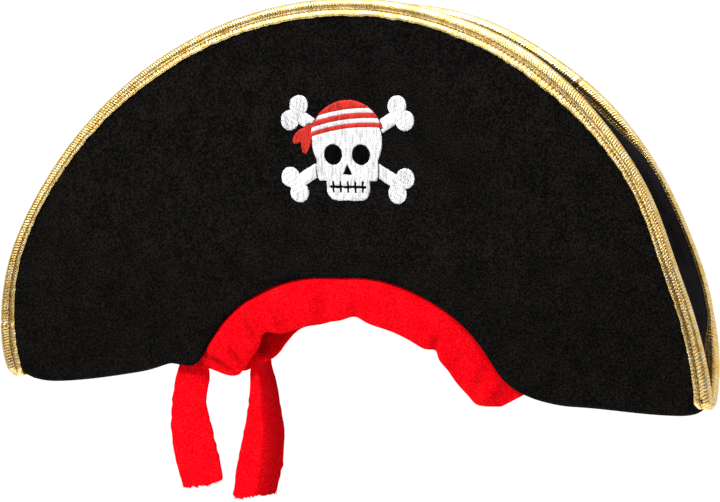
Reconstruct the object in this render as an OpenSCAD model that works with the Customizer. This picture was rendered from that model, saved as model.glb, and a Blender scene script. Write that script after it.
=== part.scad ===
// Costume pirate hat: a round brim folded in half over the head, so that it stands up
// as a front half and a back half that meet at two side tips.
// Frame: X runs from tip to tip, the front faces -Y and +Z is up. The origin is the
// middle of the head opening, at the height of the fold that the two halves turn about.

/* [Brim] */
// Radius of the round brim before it is folded
brim_r = 250; // [240:1:260]
// How far the middle of each half stands from the centre plane
lean = 21.5; // [20.5:0.5:24]
// Height above the fold at which a half reaches its full stand
lean_rise = 88; // [80:1:100]
// Thickness of the foam board inside each half
foam_t = 3; // [2:0.5:3.5]

/* [Head opening] */
// Radius of the arch cut out for the head
arch_r = 135; // [125:1:140]
// Height of the arch above the fold
arch_top = 73.5; // [66:0.5:80]
// Radius that rounds the arch into the wings' bottom edge
arch_fillet = 60; // [50:1:64]
// Height of the highest point of the crown inside
crown_top_z = 148; // [142:1:166]

/* [Red band and tails] */
// Thickness of the padded headband
band_t = 3; // [2.5:0.5:3]
// Length of the left tail below its hinge
left_tail_len = 76; // [60:1:90]
// Length of the right tail below its hinge
right_tail_len = 84; // [60:1:95]

/* [Edge binding] */
// Radius of the padded roll along the brim's edge
roll_r = 4.4; // [4.2:0.1:4.5]
// Width of the flat part of the binding, from the middle of the roll
flange_w = 7.6; // [6.6:0.2:10]

/* [Emblem] */
// Middle of the emblem, to the right of the centre
emblem_x = 8; // [-10:1:10]
// Height of the middle of the emblem
emblem_z = 153; // [146:1:160]

/* [Hidden] */
$fn = 96;

// layers of a half, as distances outwards from its middle surface
cover_t = 0.8;
lining_t = 0.6;
cover_out = foam_t / 2 + cover_t;
lining_in = -foam_t / 2 - lining_t;

// shape of a half, seen from the side
fold_stand = 5;
// the halves reach this far below the fold
fold_drop = 4.5;
curve_step = 4;
extra = 20;
strip_zs = concat([-extra], [for (z = [0:curve_step:lean_rise - 1]) z], [lean_rise, brim_r + extra]);

// outline, seen from the front
arch_cz = arch_top - arch_r;
fillet_z = arch_fillet - fold_drop;
fillet_x = sqrt(pow(arch_r + arch_fillet, 2) - pow(fillet_z - arch_cz, 2));
edge_in = 8;
corner_in = 3;
seam_r = 2.5;
seam_gap = 0.35;

// headband
band_gap = 0.4;
band_hem = 8;
band_low_r = 100;
band_mid_h = 25;
band_low_cz = arch_top - band_mid_h - band_low_r;
band_bottom = -5;
band_end_x = 103;
band_end_r = 18;
band_left_z = 9;
band_left_x = 92;
band_left_top = 14;
band_min_stand = band_t / 2 + 0.6;
band_flare = 0.4;

// crown
crown_t = 1.1;
crown_gap = 0.3;
crown_r = 118;
crown_cz = crown_top_z - crown_r;
gusset_t = 1.5;
gusset_half_w = 7.5;
gusset_foot = 4;

// binding
shell_t = 0.9;
pocket_r = roll_r - shell_t;
cord_r = pocket_r - 0.3;
flange_t = 0.85;
slot_out = cover_out + 0.25;
slot_in = lining_in - 0.25;
sweep_step = 3;
arc_steps = 8;
tuck_rest = 24;
tuck_turn_r = 4.2;
tuck_r = 2.4;

// emblem
thread_t = 0.9;
bone_angle = 31.5;
bone_half = 44;
bone_w = 8.5;
knob_r = 6.3;
knob_apart = 5.7;
skull_r = 24.5;
skull_up = 5;
jaw_w = 31;
jaw_low = -32;
jaw_corner = 7;
scarf_r = 26;
scarf_edge = 13;
scarf_knot = [-26, 14];
scarf_knot_r = 4;
scarf_end_len = 13;
scarf_end_w = 4.4;
scarf_end_turns = [205, 240];
eye_r = 6.4;
eye_x = 9.8;
eye_z = -3.5;
tooth_w = 1.2;
tooth_pitch = 5.2;
mouth_z = -24;
mouth_h = 7;
nose_z = -16;
nose_w = 6.4;
nose_h = 6.5;
tooth_gaps = 5;

// ties and tails
tie_r = 3;
tie_strap_t = 1.2;
tail_t = 2.2;
tail_gap = 0.4;
tail_steps = 16;
tail_spread = 1.6;
// each tail: middle of the hinge in x, hinge height, width at the hinge and at the end,
// sideways drift at the end, and how far the middle bows out
left_tie = [-107, 9, 19, 30, 9, -4];
right_tie = [-62, 13, 15, 30, 0, 4.5];

// how far the middle surface of a half stands from the centre plane at height z
function stand(z) = fold_stand + (lean - fold_stand) * sin(90 * max(0, min(1, z / lean_rise)));

// the same for the middle of the headband, which hangs just inside the lining and stands
// further out below the fold, so that the halves can open
function band_stand(z) = max(band_min_stand + band_flare * max(0, -z),
                             stand(z) + lining_in - band_gap - band_t / 2);

// a curved strip between two distances from the front half's middle surface
module strip(from, to) {
    outer = [for (z = strip_zs) [-stand(z) - to, z]];
    inner = [for (i = [len(strip_zs) - 1:-1:0]) [-stand(strip_zs[i]) - from, strip_zs[i]]];
    translate([-brim_r - extra, 0, 0])
        rotate([90, 0, 90])
            linear_extrude(2 * (brim_r + extra))
                polygon(concat(outer, inner));
}

// the strip that the headband is cut from
module band_strip() {
    outer = [for (z = strip_zs) [-band_stand(z) - band_t / 2, z]];
    inner = [for (i = [len(strip_zs) - 1:-1:0]) [-band_stand(strip_zs[i]) + band_t / 2, strip_zs[i]]];
    translate([-brim_r, 0, 0])
        rotate([90, 0, 90])
            linear_extrude(2 * brim_r)
                polygon(concat(outer, inner));
}

// an outline drawn in x and z, made solid from y = 0 towards the front
module frontwards(depth = 2 * lean) {
    rotate([90, 0, 0])
        linear_extrude(depth)
            children();
}

// one side's corner between the arch and the wing's bottom edge
module arch_corner() {
    difference() {
        polygon([[0, arch_cz], [fillet_x, fillet_z], [fillet_x, -extra], [0, -extra]]);
        translate([fillet_x, fillet_z])
            circle(arch_fillet);
    }
}

// the head opening, seen from the front
module arch() {
    translate([0, arch_cz])
        circle(arch_r);
    arch_corner();
    mirror([1, 0])
        arch_corner();
}

// one half of the brim, seen from the front, up to radius r
module half_outline(r) {
    difference() {
        union() {
            intersection() {
                circle(r, $fn = 180);
                translate([-r, 0])
                    square([2 * r, r]);
            }
            translate([corner_in - r, -fold_drop])
                square([2 * (r - corner_in), fold_drop]);
        }
        arch();
    }
}

// one layer of the front half, open round the fold's rolled seam
module layer(from, to) {
    difference() {
        intersection() {
            strip(from, to);
            frontwards()
                half_outline(brim_r - edge_in);
        }
        translate([-brim_r, 0, 0])
            rotate([0, 90, 0])
                cylinder(r = seam_r + seam_gap, h = 2 * brim_r);
    }
}

// the headband's outline, seen from the front
module band_outline() {
    difference() {
        translate([0, arch_cz])
            circle(arch_r + band_hem);
        translate([0, band_low_cz])
            circle(band_low_r);
        translate([-brim_r, band_bottom - 2 * brim_r])
            square([2 * brim_r, 2 * brim_r]);
        difference() {
            translate([band_end_x, band_bottom - extra])
                square([3 * extra, extra + band_end_r]);
            translate([band_end_x, band_bottom + band_end_r])
                circle(band_end_r);
        }
        translate([-brim_r, -extra])
            square([brim_r, extra + band_left_z]);
        translate([-brim_r, -extra])
            square([brim_r - band_left_x, extra + band_left_top]);
    }
}

// triangles across a ring of n points whose first half runs beside its second half
function cap(n) = [for (i = [0:n / 2 - 2]) each [[i, i + 1, n - 2 - i], [i, n - 2 - i, n - 1 - i]]];

// a closed tube through rings of points, one list per ring, all rings of one even length
module sweep(rings) {
    n = len(rings[0]);
    last = len(rings) - 1;
    points = [for (ring = rings) for (p = ring) p];
    sides = [for (k = [0:last - 1]) for (i = [0:n - 1]) let (j = (i + 1) % n)
             each [[k * n + i, k * n + j, (k + 1) * n + j], [k * n + i, (k + 1) * n + j, (k + 1) * n + i]]];
    start = [for (t = cap(n)) [t[2], t[1], t[0]]];
    end = [for (t = cap(n)) [for (i = t) last * n + i]];
    polyhedron(points = points, faces = concat(sides, start, end), convexity = 6);
}

// a section swept along the front half's edge: [distance in from the edge, distance outwards]
module edge_sweep(section) {
    sweep([for (a = [0:sweep_step:180])
           [for (p = section)
            let (r = brim_r + p[0], z = r * sin(a))
            [r * cos(a), -stand(z) - p[1], z]]]);
}

// points of an arc round the middle of the edge roll
function roll_arc(r, from, to) = [for (i = [0:arc_steps])
    let (a = from + (to - from) * i / arc_steps)
    [-roll_r + r * cos(a), r * sin(a)]];

// the binding's section: a roll with two flat flanges that hold the layers between them
function binding_section() = let (
    out = slot_out + flange_t,
    in = slot_in - flange_t,
    tip = -roll_r - flange_w)
    concat([[tip, out]],
           roll_arc(roll_r, 180 - asin(out / roll_r), -180 - asin(in / roll_r)),
           [[tip, in], [tip, slot_in]],
           roll_arc(pocket_r, -180 - asin(slot_in / pocket_r), 180 - asin(slot_out / pocket_r)),
           [[tip, slot_out]]);

// the middle of the flat part of the front, where the emblem is sewn on
module on_front() {
    translate([emblem_x, -lean - cover_out, emblem_z])
        frontwards(thread_t)
            children();
}

module bone_shape() {
    square([2 * bone_half, bone_w], center = true);
    for (end = [-1, 1])
        for (side = [-1, 1])
            translate([end * bone_half, side * knob_apart])
                circle(knob_r);
}

module bones_shape() {
    for (turn = [-1, 1])
        rotate(turn * bone_angle)
            bone_shape();
}

module skull_shape() {
    translate([0, skull_up])
        circle(skull_r);
    for (side = [-1, 1])
        translate([side * (jaw_w / 2 - jaw_corner), jaw_low + jaw_corner])
            circle(jaw_corner);
    translate([-jaw_w / 2 + jaw_corner, jaw_low])
        square([jaw_w - 2 * jaw_corner, skull_r]);
    translate([-jaw_w / 2, jaw_low + jaw_corner])
        square([jaw_w, skull_r - jaw_corner]);
}

// a plain headscarf: a cap over the top of the skull, with a knot and two short ends
module scarf_shape() {
    intersection() {
        translate([0, skull_up])
            circle(scarf_r);
        translate([-2 * scarf_r, scarf_edge])
            square([4 * scarf_r, 2 * scarf_r]);
    }
    translate(scarf_knot)
        circle(scarf_knot_r);
    for (turn = scarf_end_turns)
        translate(scarf_knot)
            rotate(turn)
                translate([0, -scarf_end_w / 2])
                    square([scarf_end_len, scarf_end_w]);
}

module features_shape() {
    for (side = [-1, 1])
        translate([side * eye_x, eye_z])
            circle(eye_r);
    translate([0, nose_z])
        polygon([[-nose_w / 2, 0], [nose_w / 2, 0], [0, nose_h]]);
    for (i = [-(tooth_gaps - 1) / 2:(tooth_gaps - 1) / 2])
        translate([i * tooth_pitch - tooth_w / 2, mouth_z - mouth_h / 2])
            square([tooth_w, mouth_h]);
    translate([-tooth_gaps * tooth_pitch / 2, mouth_z - tooth_w / 2])
        square([tooth_gaps * tooth_pitch, tooth_w]);
}

// a half-turn of rolled binding under a tip, between the front half and the back half
module tip_tuck() {
    translate([brim_r - roll_r, 0, 0])
        rotate([0, 90, 0])
            rotate([0, 0, -90 + tuck_rest])
                rotate_extrude(angle = 180 - 2 * tuck_rest)
                    translate([tuck_turn_r, 0])
                        circle(tuck_r, $fn = 48);
}

// a piped seam between the two halves along one wing's bottom edge
module wing_seam() {
    translate([fillet_x, 0, 0])
        rotate([0, 90, 0])
            cylinder(r = seam_r, h = brim_r - roll_r * 2 - edge_in - fillet_x);
}

// a hanging tail of doubled cloth below its tie
module tail(tie, length) {
    us = [for (i = [0:tail_steps]) i / tail_steps];
    top = tie[1] - tie_r - tail_gap;
    mid = [for (u = us) tie[0] + tie[4] * u * u + tie[5] * sin(180 * u)];
    half = [for (u = us) (tie[2] + (tie[3] - tie[2]) * sin(90 * min(1, tail_spread * u))) / 2];
    zs = [for (u = us) top - (length - tie_r - tail_gap) * u];
    translate([0, tail_t / 2, 0])
        frontwards(tail_t)
            polygon(concat([for (i = [0:tail_steps]) [mid[i] - half[i], zs[i]]],
                           [for (i = [tail_steps:-1:0]) [mid[i] + half[i], zs[i]]]));
}

// the roll of cloth that a tail hangs from
module tie_roll(tie) {
    translate([tie[0] - tie[2] / 2, 0, tie[1]])
        rotate([0, 90, 0])
            cylinder(r = tie_r, h = tie[2]);
}

module to_back() {
    mirror([0, 1, 0])
        children();
}

module front_foam() {
    color("dimgray")
        layer(-foam_t / 2, foam_t / 2);
}

module front_cover() {
    color("#151313")
        layer(foam_t / 2, cover_out);
}

module front_lining() {
    color("#252227")
        layer(lining_in, -foam_t / 2);
}

module front_binding() {
    color("gold")
        edge_sweep(binding_section());
}

module front_edge_cord() {
    color("beige")
        edge_sweep([for (i = [0:arc_steps - 1]) [-roll_r + cord_r * cos(-360 * i / arc_steps),
                                                 cord_r * sin(-360 * i / arc_steps)]]);
}

module front_headband() {
    color("red")
        intersection() {
            band_strip();
            frontwards()
                band_outline();
        }
}

module front_crown() {
    color("#1c1a1e")
        intersection() {
            strip(lining_in - crown_gap - crown_t, lining_in - crown_gap);
            frontwards()
                difference() {
                    translate([0, crown_cz])
                        circle(crown_r - 2 * gusset_t);
                    translate([0, arch_cz])
                        circle(arch_r + band_hem + 1);
                }
        }
}

module emblem_bones() {
    color("white")
        on_front()
            difference() {
                bones_shape();
                skull_shape();
                scarf_shape();
            }
}

module emblem_skull() {
    color("whitesmoke")
        on_front()
            difference() {
                skull_shape();
                scarf_shape();
                features_shape();
            }
}

module emblem_scarf() {
    color("crimson")
        on_front()
            scarf_shape();
}

module emblem_features() {
    color("black")
        on_front()
            features_shape();
}

module crown_gusset() {
    color("#201e22")
        difference() {
            union() {
                translate([0, gusset_half_w, crown_cz])
                    frontwards(2 * gusset_half_w)
                        difference() {
                            circle(crown_r, $fn = 120);
                            circle(crown_r - gusset_t, $fn = 120);
                        }
                for (side = [0, 1])
                    mirror([side, 0, 0])
                        translate([crown_r - gusset_t, -gusset_half_w, crown_cz - gusset_foot])
                            cube([gusset_t, 2 * gusset_half_w, gusset_foot]);
            }
            translate([-crown_r + gusset_t, -brim_r, crown_cz - 2 * crown_r])
                cube([2 * crown_r - 2 * gusset_t, 2 * brim_r, 2 * crown_r]);
            translate([-brim_r, -brim_r, crown_cz - gusset_foot - 2 * crown_r])
                cube([2 * brim_r, 2 * brim_r, 2 * crown_r]);
        }
}

module right_wing_seam() {
    color("#1a181b")
        wing_seam();
}

module left_wing_seam() {
    color("#1a181b")
        mirror([1, 0, 0])
            wing_seam();
}

module right_tip_tuck() {
    color("goldenrod")
        tip_tuck();
}

module left_tip_tuck() {
    color("goldenrod")
        mirror([1, 0, 0])
            tip_tuck();
}

module side_tie() {
    color("firebrick") {
        tie_roll(left_tie);
        tie_roll(right_tie);
        translate([left_tie[0], tie_strap_t / 2, 0])
            frontwards(tie_strap_t)
                polygon([[0, left_tie[1] - tie_r / 2], [right_tie[0] - left_tie[0], right_tie[1] - tie_r / 2],
                         [right_tie[0] - left_tie[0], right_tie[1] + tie_r / 2], [0, left_tie[1] + tie_r / 2]]);
    }
}

module left_tail() {
    color("red")
        tail(left_tie, left_tail_len);
}

module right_tail() {
    color("red")
        tail(right_tie, right_tail_len);
}

front_cover();
front_foam();
front_lining();
front_binding();
front_edge_cord();
front_headband();
front_crown();
emblem_bones();
emblem_skull();
emblem_scarf();
emblem_features();
to_back() front_cover();  // back_cover
to_back() front_foam();  // back_foam
to_back() front_lining();  // back_lining
to_back() front_binding();  // back_binding
to_back() front_edge_cord();  // back_edge_cord
to_back() front_headband();  // back_headband
to_back() front_crown();  // back_crown
crown_gusset();
left_wing_seam();
right_wing_seam();
left_tip_tuck();
right_tip_tuck();
side_tie();
left_tail();
right_tail();
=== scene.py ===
"""A costume pirate hat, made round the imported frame: black velour halves, gold binding,
a red headband with two tails, a gathered crown and an embroidered emblem.
Lengths are in millimetres until a mesh is made. X runs from tip to tip, the front faces -Y."""
import math

import bpy
import numpy as np
from mathutils import Matrix, Vector


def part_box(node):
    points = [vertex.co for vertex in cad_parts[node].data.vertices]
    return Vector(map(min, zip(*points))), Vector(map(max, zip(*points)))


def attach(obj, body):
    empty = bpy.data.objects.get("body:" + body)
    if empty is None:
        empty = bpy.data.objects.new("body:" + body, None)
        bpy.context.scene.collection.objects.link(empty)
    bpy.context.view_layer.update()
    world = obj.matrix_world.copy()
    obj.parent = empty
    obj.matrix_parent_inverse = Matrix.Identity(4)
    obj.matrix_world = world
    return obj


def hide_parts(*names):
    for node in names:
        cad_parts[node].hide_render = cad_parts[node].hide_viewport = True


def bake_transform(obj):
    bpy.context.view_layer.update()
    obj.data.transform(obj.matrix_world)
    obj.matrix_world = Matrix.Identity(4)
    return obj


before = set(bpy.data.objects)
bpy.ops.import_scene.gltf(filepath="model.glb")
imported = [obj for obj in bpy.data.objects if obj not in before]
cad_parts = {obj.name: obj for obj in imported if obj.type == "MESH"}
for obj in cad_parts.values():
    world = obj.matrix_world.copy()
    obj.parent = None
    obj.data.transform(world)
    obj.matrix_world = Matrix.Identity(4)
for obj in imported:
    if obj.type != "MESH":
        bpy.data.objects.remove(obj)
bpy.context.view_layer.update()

MM = 0.001
FRONT = -1
BACK = 1
HALVES = ((FRONT, "front"), (BACK, "back"))
RIGHT = 1
LEFT = -1
WINGS = ((RIGHT, "right"), (LEFT, "left"))


def box_mm(node):
    """A node's lowest and highest corners in millimetres."""
    low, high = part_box(node)
    return np.array(low) / MM, np.array(high) / MM


# ---- sizes that the frame gives
binding_low, binding_high = box_mm("front_binding")
band_high = box_mm("front_headband")[1]
gusset_high = box_mm("crown_gusset")[1]
skull_low, skull_high = box_mm("emblem_skull")
BRIM_R = binding_high[0]
ROLL_R = 4.4
LEAN = -binding_low[1] - ROLL_R
BAND_HEM = 8
ARCH_TOP = band_high[2] - BAND_HEM
CROWN_R = gusset_high[0]
CROWN_CZ = gusset_high[2] - CROWN_R
GUSSET_HALF_W = gusset_high[1]
FACE_OUT = 2.3
LINING_OUT = -2.1

# ---- the shape of a half, as in the frame
FOLD_STAND = 5
LEAN_RISE = 88
TIP_PINCH = 1.8
ARCH_R = 135
ARCH_CZ = ARCH_TOP - ARCH_R
ARCH_SHIFT = 4.5
FILLET_R = 60
FOLD_DROP = 4.5
FILLET_Z = FILLET_R - FOLD_DROP
FILLET_X = math.sqrt((ARCH_R + FILLET_R) ** 2 - (FILLET_Z - ARCH_CZ) ** 2)
LEFT_TIP_LIFT = 2.2
LEFT_LIFT = 17.8
RIGHT_DROP = 3.5
# how far the arch's edge is from a true circle, as (angle, spread, height)
ARCH_WAVES = ((32, 13, -5.2), (91, 9, -2.1), (145, 14, -5.0))

# how far the brim's edge is from a true circle, as (angle, spread, height)
EDGE_WAVES = {
    FRONT: ((165, 13, 2.3), (130, 17, -1.2), (107, 22, -1.7), (57, 12, 1.8), (21, 8, -2.4), (2, 6, 2.0),
            (181, 3, -3.2)),
    BACK: ((165, 13, 2.3), (130, 17, -1.2), (107, 22, -1.0), (72, 11, 2.0), (50, 8, 0.8), (25, 10, -2.0),
           (4, 6, 1.9), (181, 3, -3.2)),
}
# how wide the binding shows at angles round the brim, from the right tip to the left
BINDING_ANGLES = (-2, 3, 8, 15, 25, 35, 45, 52, 60, 75, 95, 120, 140, 155, 165, 174, 182)
BINDING_WIDTHS = (11.0, 11.0, 10.0, 9.2, 9.2, 9.0, 10.4, 13.0, 12.8,
                  11.6, 11.2, 10.4, 8.4, 8.2, 9.8, 12.2, 12.8)

EASE_STEPS = 600
EASE_SPAN = 0.035


def smooth(low, high, value):
    """From 0 at low to 1 at high, level at both. Low may be the larger of the two."""
    t = np.clip((value - low) / (high - low), 0, 1)
    return t * t * (3 - 2 * t)


def bumps(value, waves):
    """The sum of several rounded bumps, each (middle, spread, height)."""
    return sum(height * np.exp(-(((value - middle) / spread) ** 2)) for middle, spread, height in waves)


def eased(value, places, heights):
    """A smooth curve through a few points."""
    fine = np.linspace(places[0], places[-1], EASE_STEPS)
    line = np.interp(fine, places, heights)
    span = int(EASE_STEPS * EASE_SPAN)
    kernel = np.hanning(2 * span + 1)
    padded = np.concatenate([np.full(span, line[0]), line, np.full(span, line[-1])])
    return np.interp(value, fine, np.convolve(padded, kernel / kernel.sum(), "valid"))


def polar(radius, degrees, centre_z=0):
    """X and Z of points at a radius and an angle about the point (0, centre_z)."""
    angle = np.radians(degrees)
    return radius * np.cos(angle), centre_z + radius * np.sin(angle)


def full_turn(count):
    """Angles once round a section, as one row."""
    return np.radians(np.linspace(0, 360, count, endpoint=False))[None, :]


def stand(x, z):
    """How far the middle surface of a half stands from the centre plane."""
    full = FOLD_STAND + (LEAN - FOLD_STAND) * np.sin(np.pi / 2 * np.clip(z / LEAN_RISE, 0, 1))
    return full - TIP_PINCH * smooth(150, 235, np.abs(x)) * (1 - smooth(50, 100, z))


def warp(side, x, y, z):
    """Points of a half: y is the distance from the centre plane. The head opening sits a little to the
    right. The left wing's lower edge is pushed up and the right wing's hangs lower."""
    x, y, z = np.broadcast_arrays(x, y, z)
    shift = ARCH_SHIFT * (1 - smooth(150, 235, np.hypot(x, z - ARCH_CZ)))
    lift = LEFT_TIP_LIFT + LEFT_LIFT * smooth(-225, -85, x)
    lift = lift * (1 - smooth(-139, -100, x)) * (1 - smooth(-5, 62, z))
    drop = RIGHT_DROP * smooth(150, 225, x) * (1 - smooth(-5, 40, z))
    return np.stack([x + shift, side * y, z + lift - drop], axis=-1)


def edge_radius(side, angle):
    return BRIM_R + bumps(angle, EDGE_WAVES[side])


def binding_width(angle):
    return eased(angle, BINDING_ANGLES, BINDING_WIDTHS)


def slimness(side, angle):
    """The back binding is rolled tighter along the lower right."""
    tight = 0.62 if side == BACK else 0.0
    return 1 - tight * smooth(8, 13, angle) * (1 - smooth(36, 46, angle))


def ripple(side, x, z):
    """Slow waves in a half's cloth, with small puckers beside the binding. Under it the cloth is flat."""
    seed = 0.7 if side == FRONT else 2.9
    slow = np.sin(x / 47 + seed) * np.cos(z / 39 - seed) + 0.6 * np.sin((x + 1.3 * z) / 29 + 2 * seed)
    radius = np.hypot(x, z)
    angle = np.arctan2(z, x)
    width = binding_width(np.degrees(angle))
    inner = edge_radius(side, np.degrees(angle)) - width
    pucker = np.sin(angle * 61 + 3 * np.sin(angle * 13)) * np.exp(-np.abs(inner - radius) / 9)
    under = smooth(-2, 1.5, radius - inner)
    hem = np.hypot(x, z - ARCH_CZ) - ARCH_R
    hem_pucker = np.sin(angle * 43 + 2 * np.sin(angle * 17)) * np.exp(-np.abs(hem - 3) / 7)
    return (0.28 * slow + 0.30 * pucker + 0.22 * hem_pucker) * (1 - under) - 0.4 * under


# ---- meshes
def grid_faces(rows, cols, round_cols=False):
    row = np.arange(rows - 1)[:, None]
    col = np.arange(cols if round_cols else cols - 1)[None, :]
    next_row = row + 1
    next_col = (col + 1) % cols
    quads = np.stack([row * cols + col, row * cols + next_col,
                      next_row * cols + next_col, next_row * cols + col], axis=-1)
    return quads.reshape(-1, 4)


def make_object(name, points, faces, material):
    """A smooth object from points in millimetres."""
    mesh = bpy.data.meshes.new(name)
    mesh.from_pydata((np.asarray(points) * MM).tolist(), [], [list(face) for face in faces])
    mesh.shade_smooth()
    mesh.materials.append(material)
    obj = bpy.data.objects.new(name, mesh)
    bpy.context.scene.collection.objects.link(obj)
    return obj


def grid_normals(grid):
    down = np.gradient(grid, axis=0)
    along = np.gradient(grid, axis=1)
    normal = np.cross(along, down)
    return normal / np.maximum(np.linalg.norm(normal, axis=-1, keepdims=True), 1e-9)


def shell(name, grid, thickness, material, flip=False):
    """A closed sheet: the grid is its seen face, and the other face lies a thickness behind it."""
    rows, cols = grid.shape[:2]
    behind = grid_normals(grid) * (-thickness if flip else thickness)
    points = np.concatenate([grid.reshape(-1, 3), (grid + behind).reshape(-1, 3)])
    face = grid_faces(rows, cols)
    count = rows * cols
    index = np.arange(count).reshape(rows, cols)
    rim = np.concatenate([index[0, :-1], index[:-1, -1], index[-1, :0:-1], index[:0:-1, 0]])
    following = np.roll(rim, -1)
    sides = np.stack([rim, rim + count, following + count, following], axis=-1)
    faces = np.concatenate([face[:, ::-1], face + count, sides[:, ::-1]])
    obj = make_object(name, points, faces, material)
    outwards(obj)
    return obj


def tube(name, rings, material):
    """A closed tube through rings of points."""
    count, sides = rings.shape[:2]
    faces = [list(face) for face in grid_faces(count, sides, round_cols=True)]
    points = np.concatenate([rings.reshape(-1, 3), rings[0].mean(0)[None], rings[-1].mean(0)[None]])
    start = count * sides
    last = (count - 1) * sides
    for i in range(sides):
        j = (i + 1) % sides
        faces.append([start, j, i])
        faces.append([start + 1, last + i, last + j])
    obj = make_object(name, points, faces, material)
    outwards(obj)
    return obj


def outwards(obj):
    """Turns a closed mesh's faces outwards."""
    mesh = obj.data
    mesh.calc_loop_triangles()
    points = np.zeros(3 * len(mesh.vertices), np.float32)
    triangles = np.zeros(3 * len(mesh.loop_triangles), np.int32)
    mesh.vertices.foreach_get("co", points)
    mesh.loop_triangles.foreach_get("vertices", triangles)
    corners = points.reshape(-1, 3)[triangles.reshape(-1, 3)].astype(float)
    volume = (corners[:, 0] * np.cross(corners[:, 1], corners[:, 2])).sum()
    if volume < 0:
        mesh.flip_normals()


def noise_table(seed, rows, cols):
    return np.random.default_rng(seed).uniform(-1, 1, (rows, cols))


def noise_at(table, u, v):
    """Smooth noise read from a table of random numbers that repeats."""
    rows, cols = table.shape
    i, j = np.floor(u).astype(int), np.floor(v).astype(int)
    s, t = smooth(0, 1, u - i), smooth(0, 1, v - j)
    i, j, k, m = i % rows, j % cols, (i + 1) % rows, (j + 1) % cols
    return ((table[i, j] * (1 - s) + table[k, j] * s) * (1 - t)
            + (table[i, m] * (1 - s) + table[k, m] * s) * t)


# ---- materials
def new_material(name):
    material = bpy.data.materials.new(name)
    material.use_nodes = True
    nodes = material.node_tree.nodes
    shader = nodes["Principled BSDF"]
    place = nodes.new("ShaderNodeTexCoord").outputs["Object"]
    return material, nodes, material.node_tree.links, shader, place


def noise_node(nodes, links, place, scale, detail=3.0, stretch=None):
    """Noise with features of about 1000 / scale millimetres, drawn out along an axis by stretch."""
    noise = nodes.new("ShaderNodeTexNoise")
    noise.inputs["Scale"].default_value = scale
    noise.inputs["Detail"].default_value = detail
    if stretch:
        mapping = nodes.new("ShaderNodeMapping")
        mapping.inputs["Scale"].default_value = stretch
        links.new(place, mapping.inputs["Vector"])
        place = mapping.outputs["Vector"]
    links.new(place, noise.inputs["Vector"])
    return noise.outputs["Fac"]


def ramp_node(nodes, links, value, stops):
    ramp = nodes.new("ShaderNodeValToRGB")
    points = ramp.color_ramp.elements
    while len(points) < len(stops):
        points.new(0.5)
    for point, (position, colour) in zip(points, stops):
        point.position = position
        point.color = (*colour, 1)
    links.new(value, ramp.inputs["Fac"])
    return ramp.outputs["Color"]


def bump_node(nodes, links, height, strength, distance_mm, before=None):
    bump = nodes.new("ShaderNodeBump")
    bump.inputs["Strength"].default_value = strength
    bump.inputs["Distance"].default_value = distance_mm * MM
    links.new(height, bump.inputs["Height"])
    if before:
        links.new(before, bump.inputs["Normal"])
    return bump.outputs["Normal"]


def mark_painted_shade(obj, painted_shade):
    """Stores how much painted shade each point gets, from 0 to 1, in the 'fold' attribute. A sheet's other
    face gets the same values.
    """
    mesh = obj.data
    values = np.clip(painted_shade, 0, 1).ravel()
    values = np.tile(values, len(mesh.vertices) // len(values) + 1)[:len(mesh.vertices)]
    mesh.attributes.new("fold", "FLOAT", "POINT").data.foreach_set("value", values.astype(np.float32))


def mix_in_painted_shade(nodes, links, colour, shade_colour):
    # painted shade: the 'fold' attribute mixes the colour toward a darker one
    fold = nodes.new("ShaderNodeAttribute")
    fold.attribute_name = "fold"
    mix = nodes.new("ShaderNodeMix")
    mix.data_type = "RGBA"
    mix.inputs["B"].default_value = (*shade_colour, 1)
    links.new(fold.outputs["Fac"], mix.inputs["Factor"])
    links.new(colour, mix.inputs["A"])
    return mix.outputs["Result"]


def pile_cloth(name, dark, middle, light, rough, sheen, sheen_tint, grain=900, depth=0.5):
    """Velour: a short pile whose tone changes where it is brushed, with painted shade in its creases."""
    material, nodes, links, shader, place = new_material(name)
    brushed = noise_node(nodes, links, place, 70, 5)
    pile = noise_node(nodes, links, place, grain, 2)
    mix = nodes.new("ShaderNodeMix")
    mix.inputs["Factor"].default_value = 0.80
    links.new(brushed, mix.inputs["A"])
    links.new(pile, mix.inputs["B"])
    colour = ramp_node(nodes, links, mix.outputs["Result"],
                       [(0.40, dark), (0.5, middle), (0.61, light)])
    # painted shade: creases get a colour a fifth as bright as the darkest pile
    painted_crease_colour = mix_in_painted_shade(nodes, links, colour, [0.2 * v for v in dark])
    links.new(painted_crease_colour, shader.inputs["Base Color"])
    shader.inputs["Roughness"].default_value = rough
    shader.inputs["Specular IOR Level"].default_value = 0.02
    shader.inputs["Sheen Weight"].default_value = sheen
    shader.inputs["Sheen Roughness"].default_value = 0.45
    shader.inputs["Sheen Tint"].default_value = (*sheen_tint, 1)
    coarse = bump_node(nodes, links, pile, depth, 0.5)
    fine = noise_node(nodes, links, place, 2.4 * grain, 2)
    links.new(bump_node(nodes, links, fine, depth, 0.2, coarse), shader.inputs["Normal"])
    return material


def plain_weave(name, dark, light, rough, threads=1400, sheen=0.1):
    """A thin woven cloth: two sets of threads and a slow change of tone."""
    material, nodes, links, shader, place = new_material(name)
    tone = noise_node(nodes, links, place, 120, 4)
    links.new(ramp_node(nodes, links, tone, [(0.35, dark), (0.65, light)]), shader.inputs["Base Color"])
    shader.inputs["Roughness"].default_value = rough
    shader.inputs["Specular IOR Level"].default_value = 0.2
    shader.inputs["Sheen Weight"].default_value = sheen
    shader.inputs["Sheen Roughness"].default_value = 0.4
    normal = None
    for axis in ("X", "Z"):
        wave = nodes.new("ShaderNodeTexWave")
        wave.bands_direction = axis
        wave.inputs["Scale"].default_value = threads / 6.3
        wave.inputs["Distortion"].default_value = 1.5
        links.new(place, wave.inputs["Vector"])
        normal = bump_node(nodes, links, wave.outputs["Fac"], 0.35, 0.25, normal)
    links.new(normal, shader.inputs["Normal"])
    return material


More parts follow.
